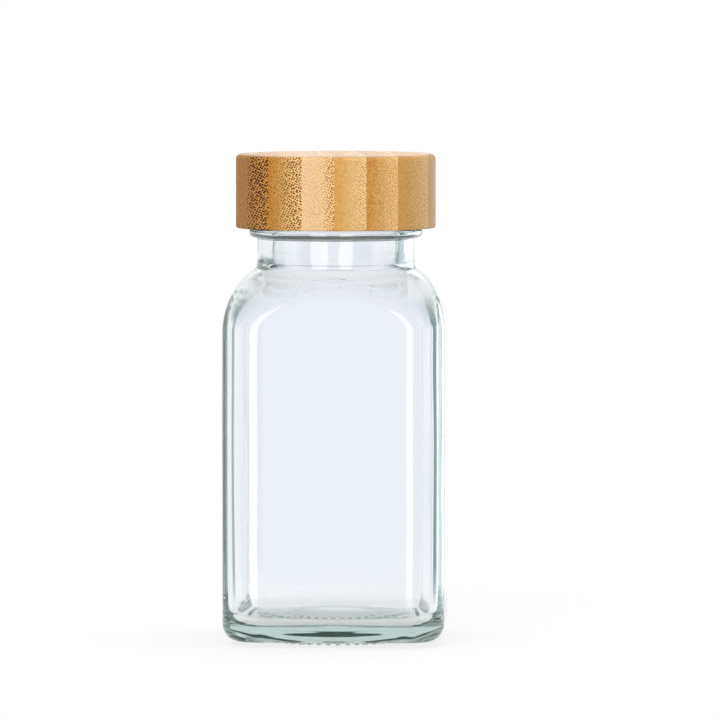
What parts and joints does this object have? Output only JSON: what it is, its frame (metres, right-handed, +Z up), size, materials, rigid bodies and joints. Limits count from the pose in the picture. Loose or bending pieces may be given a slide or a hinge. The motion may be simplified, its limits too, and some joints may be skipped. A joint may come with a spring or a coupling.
{
  "type": "spice jar",
  "caption": "Square clear glass spice jar with rounded corners, a round neck and a screw lid of glued bamboo strips.",
  "frame": {"origin": "on the lid's axis, in the plane that the jar stands on", "axes": "+Z up along the lid's axis, -Y out of the jar's front face, +X to the right seen from the front"},
  "size_m": [0.05, 0.05, 0.11],
  "materials": {
    "clear_glass": "clear moulded soda-lime glass, faint green in depth",
    "liner_foam": "soft matt white foam",
    "insert_plastic": "moulded natural white plastic",
    "bamboo_dark": "sanded and oiled bamboo, caramel tone",
    "bamboo_golden": "sanded and oiled bamboo, golden tone",
    "bamboo_pale": "sanded and oiled bamboo, pale honey tone"
  },
  "bodies": {
    "jar": {"glass_jar": "clear_glass"},
    "seal": {"seal_liner": "liner_foam"},
    "lid": {"thread_insert": "insert_plastic", "lid_strip_1": "bamboo_dark", "lid_strip_2": "bamboo_golden", "lid_strip_3": "bamboo_pale", "lid_strip_4": "bamboo_golden", "lid_strip_5": "bamboo_dark", "lid_strip_6": "bamboo_pale", "lid_strip_7": "bamboo_dark"}
  },
  "joints": [
    {"name": "lid_lift", "type": "slide", "parent": "jar", "child": "seal", "axis": [0, 0, 1], "range_m": [0, 0.0149]},
    {"name": "lid_turn", "type": "hinge", "parent": "seal", "child": "lid", "pos_m": [0, 0, 0.1044], "axis": [0, 0, 1], "range_deg": [0, 1260]}
  ],
  "couplings": [
    {"joint": "lid_lift", "follows": "lid_turn", "m_per_rad": 0.00067375}
  ]
}
